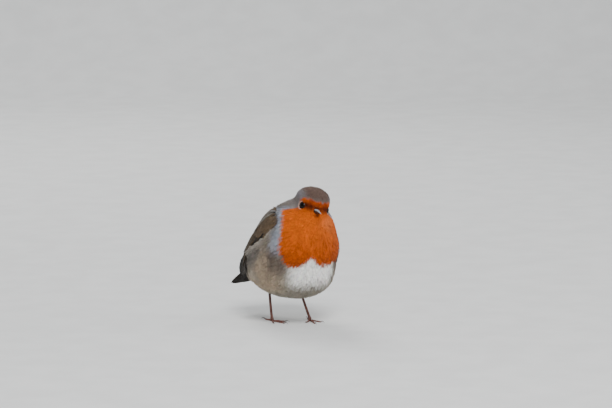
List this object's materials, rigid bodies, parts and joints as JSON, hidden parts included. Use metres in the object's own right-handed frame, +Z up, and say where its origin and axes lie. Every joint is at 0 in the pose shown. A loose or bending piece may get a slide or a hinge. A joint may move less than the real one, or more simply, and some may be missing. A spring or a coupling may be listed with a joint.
{
  "type": "robin",
  "caption": "Small round songbird, a European robin with an orange-red breast, standing fluffed up with its head turned to its right.",
  "frame": {"origin": "on the floor, under the middle of the outline's box", "axes": "+Z up, +X towards the bird's left side, -Y the way its body faces"},
  "size_m": [0.0676, 0.11, 0.1136],
  "materials": {
    "face_feathers": "soft feathers, orange face under a grey-brown crown",
    "breast_feathers": "soft feathers, orange-red",
    "belly_feathers": "soft feathers, white belly and buff-grey flanks",
    "wing_feathers": "smooth feathers, olive brown with dark quills",
    "tail_feathers": "smooth feathers, dark grey-brown",
    "bill": "horn, blackish brown, satin",
    "eye": "wet, almost black",
    "leg": "scaly skin, reddish brown",
    "claw": "horn, dark brown, satin"
  },
  "bodies": {
    "root": {"head": "face_feathers", "neck": "breast_feathers", "trunk": "belly_feathers", "bill_upper": "bill", "bill_lower": "bill", "tail": "tail_feathers", "eye_left": "eye", "eye_right": "eye", "wing_left": "wing_feathers", "wing_right": "wing_feathers", "leg_left": "leg", "leg_right": "leg", "toe_hind_left": "leg", "toe_inner_left": "leg", "toe_middle_left": "leg", "toe_outer_left": "leg", "toe_hind_right": "leg", "toe_inner_right": "leg", "toe_middle_right": "leg", "toe_outer_right": "leg", "claw_hind_left": "claw", "claw_inner_left": "claw", "claw_middle_left": "claw", "claw_outer_left": "claw", "claw_hind_right": "claw", "claw_inner_right": "claw", "claw_middle_right": "claw", "claw_outer_right": "claw"}
  },
  "joints": []
}
